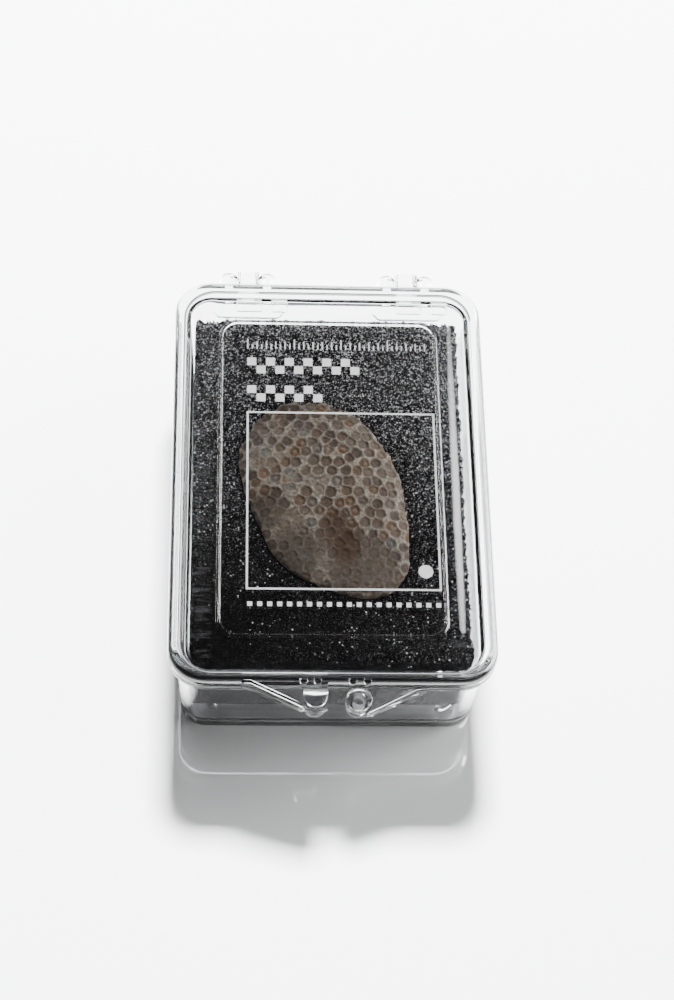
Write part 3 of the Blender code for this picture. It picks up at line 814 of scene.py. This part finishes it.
def make_foam():
    """The cut foam block, rough all over with opened cells, sunk under the fossil."""
    columns = round(2 * FOAM_HALF_WIDTH / FOAM_STEP)
    rows = round(2 * FOAM_HALF_LENGTH / FOAM_STEP)
    levels = round((FOAM_TOP - FOAM_BOTTOM) / FOAM_STEP)
    xs = np.linspace(-FOAM_HALF_WIDTH, FOAM_HALF_WIDTH, columns + 1)
    ys = np.linspace(-FOAM_HALF_LENGTH, FOAM_HALF_LENGTH, rows + 1)
    points = []
    faces = []
    for y in ys:
        for x in xs:
            points.append((x, y, FOAM_TOP, 0.0, 0.0, 1.0))
    for row in range(rows):
        for column in range(columns):
            a = row * (columns + 1) + column
            faces.append((a, a + 1, a + columns + 2, a + columns + 1))
    loop = list(range(columns)) + [row * (columns + 1) + columns for row in range(rows)]
    loop += [rows * (columns + 1) + column for column in range(columns, 0, -1)]
    loop += [row * (columns + 1) for row in range(rows, 0, -1)]
    above = loop
    roots = list(range(len(points)))
    for level in range(1, levels + 1):
        z = FOAM_TOP - (FOAM_TOP - FOAM_BOTTOM) * level / levels
        below = []
        for top_index in loop:
            x, y = points[top_index][:2]
            normal_x = (abs(x) > FOAM_HALF_WIDTH - 0.001) * math.copysign(1.0, x)
            normal_y = (abs(y) > FOAM_HALF_LENGTH - 0.001) * math.copysign(1.0, y)
            below.append(len(points))
            points.append((x, y, z, normal_x, normal_y, 0.0))
            roots.append(top_index)
        for i in range(len(loop)):
            j = (i + 1) % len(loop)
            faces.append((above[j], above[i], below[i], below[j]))
        above = below
    faces.append(tuple(reversed(above)))
    points = np.array(points)
    torn = np.random.default_rng(FOAM_SEED).random(rows + columns + 2)
    torn_across, torn_along = torn[:rows + 1], torn[columns + 2:]
    for i, (x, y, z) in enumerate(points[:, :3]):
        cell = noise.voronoi(Vector((x, y, z)) / FOAM_CELL)[0]
        pore = min(1.0, max(0.0, 1.0 - (cell[1] - cell[0]) * 1.6))
        rough = FOAM_ROUGHNESS * (pore - 0.8) + 0.05 * noise.noise(Vector((x, y, z)) * 7.0)
        points[i, 0] += points[i, 3] * rough
        points[i, 1] += points[i, 4] * rough
        points[i, 2] += points[i, 5] * rough
        row, column = divmod(roots[i], columns + 1)
        deep = max(0.0, 1.0 - (FOAM_TOP - z) / FOAM_TORN_DEPTH)
        beside = max(0.0, 1.0 - (FOAM_HALF_WIDTH - abs(x)) / FOAM_TORN_BAND)
        behind = max(0.0, 1.0 - (FOAM_HALF_LENGTH - abs(y)) / FOAM_TORN_BAND)
        most = FOAM_TORN_BACK if y > 0 else FOAM_TORN_ELSEWHERE
        points[i, 0] -= math.copysign(FOAM_TORN_ELSEWHERE * torn_across[row] * deep * beside, x)
        points[i, 1] -= math.copysign(most * torn_along[column] * deep * behind, y)
        away_x, away_y = x - FOSSIL_X, y - FOSSIL_Y
        reach = math.hypot(away_x, away_y) / fossil_radius(math.atan2(away_y, away_x))
        if z > FOAM_TOP - 0.001:
            if reach < HOLLOW_REACH:
                points[i, 2] -= HOLLOW_SINK + (1.0 - reach ** 3) ** 0.5 * FOSSIL_BELLY
            elif reach < LIP_REACH:
                points[i, 2] -= LIP_SINK * ((LIP_REACH - reach) / LIP_WIDTH) ** 2
    return add_object("foam_block", mesh_from_grid("foam_block", points[:, :3] * MM, faces))


def ink_shape(bm, outline):
    """One thin flat mark of print on the lid's panel."""
    low = (LID_PANEL_TOP + INK_LIFT) * MM
    bottom = [bm.verts.new((x * MM, y * MM, low)) for x, y in outline]
    top = [bm.verts.new((x * MM, y * MM, low + INK_THICKNESS * MM)) for x, y in outline]
    bm.faces.new(list(reversed(bottom)))
    bm.faces.new(top)
    for i in range(len(outline)):
        j = (i + 1) % len(outline)
        bm.faces.new((bottom[i], bottom[j], top[j], top[i]))


def ink_bar(bm, left, right, front, back):
    ink_shape(bm, ((left, front), (right, front), (right, back), (left, back)))


def make_frame_line():
    """The thin printed frame."""
    bm = bmesh.new()
    ink_bar(bm, FRAME_LEFT, FRAME_RIGHT, FRAME_FRONT, FRAME_FRONT + FRAME_LINE)
    ink_bar(bm, FRAME_LEFT, FRAME_RIGHT, FRAME_BACK - FRAME_LINE, FRAME_BACK)
    ink_bar(bm, FRAME_LEFT, FRAME_LEFT + FRAME_LINE, FRAME_FRONT + FRAME_LINE, FRAME_BACK - FRAME_LINE)
    ink_bar(bm, FRAME_RIGHT - FRAME_LINE, FRAME_RIGHT, FRAME_FRONT + FRAME_LINE, FRAME_BACK - FRAME_LINE)
    return add_object("printed_frame", mesh_from_bmesh("printed_frame", bm))


def make_scale_marks():
    """A plain half-millimetre scale, two chequered millimetre scales, a row of dots and a plain disc."""
    bm = bmesh.new()
    for step in range(RULER_STEPS):
        x = FRAME_LEFT + step * 0.5
        tall = RULER_HEIGHTS[0 if step % 10 == 0 else 1 if step % 2 == 0 else 2]
        ink_bar(bm, x, x + RULER_LINE, RULER_Y, RULER_Y + tall)
    for row_front, columns in CHEQUERED_BARS:
        for column in range(columns):
            for row in range(2):
                if (column + row) % 2:
                    x = FRAME_LEFT + column
                    y = row_front + row
                    ink_bar(bm, x + CHEQUER_GAP, x + 1 - CHEQUER_GAP, y + CHEQUER_GAP, y + 1 - CHEQUER_GAP)
    for step in range(DOTS):
        x = FRAME_LEFT + DOTS_START + step
        ink_bar(bm, x, x + DOT_WIDTH, *DOTS_Y)
    disc_x, disc_y, radius = DISC
    turns = [math.pi * i / 16 for i in range(32)]
    ink_shape(bm, [(disc_x + radius * math.cos(turn), disc_y + radius * math.sin(turn)) for turn in turns])
    return add_object("printed_scale", mesh_from_bmesh("printed_scale", bm))


def camera_axes():
    """Right, up and forward of the camera."""
    azimuth, elevation, roll = (math.radians(v) for v in (CAMERA_AZIMUTH, CAMERA_ELEVATION, CAMERA_ROLL))
    forward = Vector((math.sin(azimuth) * math.cos(elevation), math.cos(azimuth) * math.cos(elevation),
                      -math.sin(elevation)))
    level_right = Vector((math.cos(azimuth), -math.sin(azimuth), 0.0))
    level_up = level_right.cross(forward)
    right = math.cos(roll) * level_right + math.sin(roll) * level_up
    up = -math.sin(roll) * level_right + math.cos(roll) * level_up
    return right, up, forward


def add_camera():
    right, up, forward = camera_axes()
    data = bpy.data.cameras.new("camera")
    data.lens = CAMERA_LENS
    data.sensor_width = 36.0
    data.clip_start = 0.01
    camera = bpy.data.objects.new("camera", data)
    bpy.context.scene.collection.objects.link(camera)
    place = (right * CAMERA_AIM_RIGHT + up * CAMERA_AIM_UP - forward * CAMERA_DISTANCE) * MM
    turn = Matrix((right, up, -forward)).transposed().to_4x4()
    camera.matrix_world = Matrix.Translation(place) @ turn
    bpy.context.scene.camera = camera


def add_floor_light(name, place, aim, size, power, surface):
    """A soft lamp above and behind that brightens the table top alone and throws the box's shadow forward."""
    data = bpy.data.lights.new(name, "AREA")
    data.cycles.use_multiple_importance_sampling = False
    data.shape = "RECTANGLE"
    data.size, data.size_y = size
    data.energy = power
    light = bpy.data.objects.new(name, data)
    light.visible_glossy = False
    light.visible_transmission = False
    bpy.context.scene.collection.objects.link(light)
    light.location = place
    light.rotation_euler = (Vector(aim) - Vector(place)).to_track_quat("-Z", "Y").to_euler()
    lit = bpy.data.collections.new("table_top_only")
    lit.objects.link(surface)
    light.light_linking.receiver_collection = lit


def add_world():
    """A dim studio with a big soft window at the right and a small lamp at the left, both kept out of the
    lid's mirror image."""
    world = bpy.data.worlds.new("studio")
    bpy.context.scene.world = world
    world.use_nodes = True
    tree = world.node_tree
    tree.nodes.clear()
    way = add_node(tree, "ShaderNodeTexCoord").outputs["Generated"]
    parts = add_node(tree, "ShaderNodeSeparateXYZ", Vector=way)
    level = add_node(tree, "ShaderNodeMapRange", Value=parts.outputs["Z"], _1=0.0, _2=0.6, _3=ROOM_LOW,
                     _4=ROOM_HIGH).outputs["Result"]
    for azimuth, elevation, inner, outer, strength in (SIDE_WINDOW, SMALL_LAMP):
        turn, rise = math.radians(azimuth), math.radians(elevation)
        middle = (math.sin(turn) * math.cos(rise), math.cos(turn) * math.cos(rise), math.sin(rise))
        toward = add_node(tree, "ShaderNodeVectorMath", {"operation": "DOT_PRODUCT"}, _0=way, _1=middle)
        glow = add_node(tree, "ShaderNodeMapRange", {"interpolation_type": "SMOOTHSTEP"},
                        Value=toward.outputs["Value"], _1=math.cos(math.radians(outer)),
                        _2=math.cos(math.radians(inner)), _3=0.0, _4=strength)
        level = add_node(tree, "ShaderNodeMath", {"operation": "ADD"}, _0=glow.outputs["Result"],
                         _1=level).outputs["Value"]
    sky = add_node(tree, "ShaderNodeBackground", Color=linear("#FFFFFF"), Strength=level)
    add_node(tree, "ShaderNodeOutputWorld", Surface=sky.outputs["Background"])


clear = clear_polystyrene()
tray = make_tray()
lid = make_lid()
foam = make_foam()
fossil = make_fossil()
frame_line = make_frame_line()
scale_marks = make_scale_marks()
ink = printed_ink()
for piece, material in ((tray, clear), (lid, clear), (foam, black_foam()), (fossil, bryozoan_limestone()),
                        (frame_line, ink), (scale_marks, ink)):
    piece.data.materials.clear()
    piece.data.materials.append(material)

for piece, body, node, slot in ((tray, "base", "box_base", "clear_polystyrene"),
                                (lid, "lid", "box_lid", "clear_polystyrene"),
                                (foam, "base", "foam_pad", "black_foam"),
                                (fossil, "base", "bryozoan_fossil", "bryozoan_stone")):
    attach(piece, body)
    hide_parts(node)
for piece in (frame_line, scale_marks):
    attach(piece, "lid")

floor_mesh = bpy.data.meshes.new("floor")
corners = [(x * FLOOR_REACH, y * FLOOR_REACH, FLOOR_LEVEL) for x, y in ((-1, -1), (1, -1), (1, 1), (-1, 1))]
floor_mesh.from_pydata(corners, [], [(0, 1, 2, 3)])
floor = add_object("floor", floor_mesh)
floor.data.materials.append(stage_floor())

add_world()
add_floor_light("floor_light", FLOOR_LIGHT_PLACE, FLOOR_LIGHT_AIM, FLOOR_LIGHT_SIZE, FLOOR_LIGHT_POWER,
                floor)
add_camera()
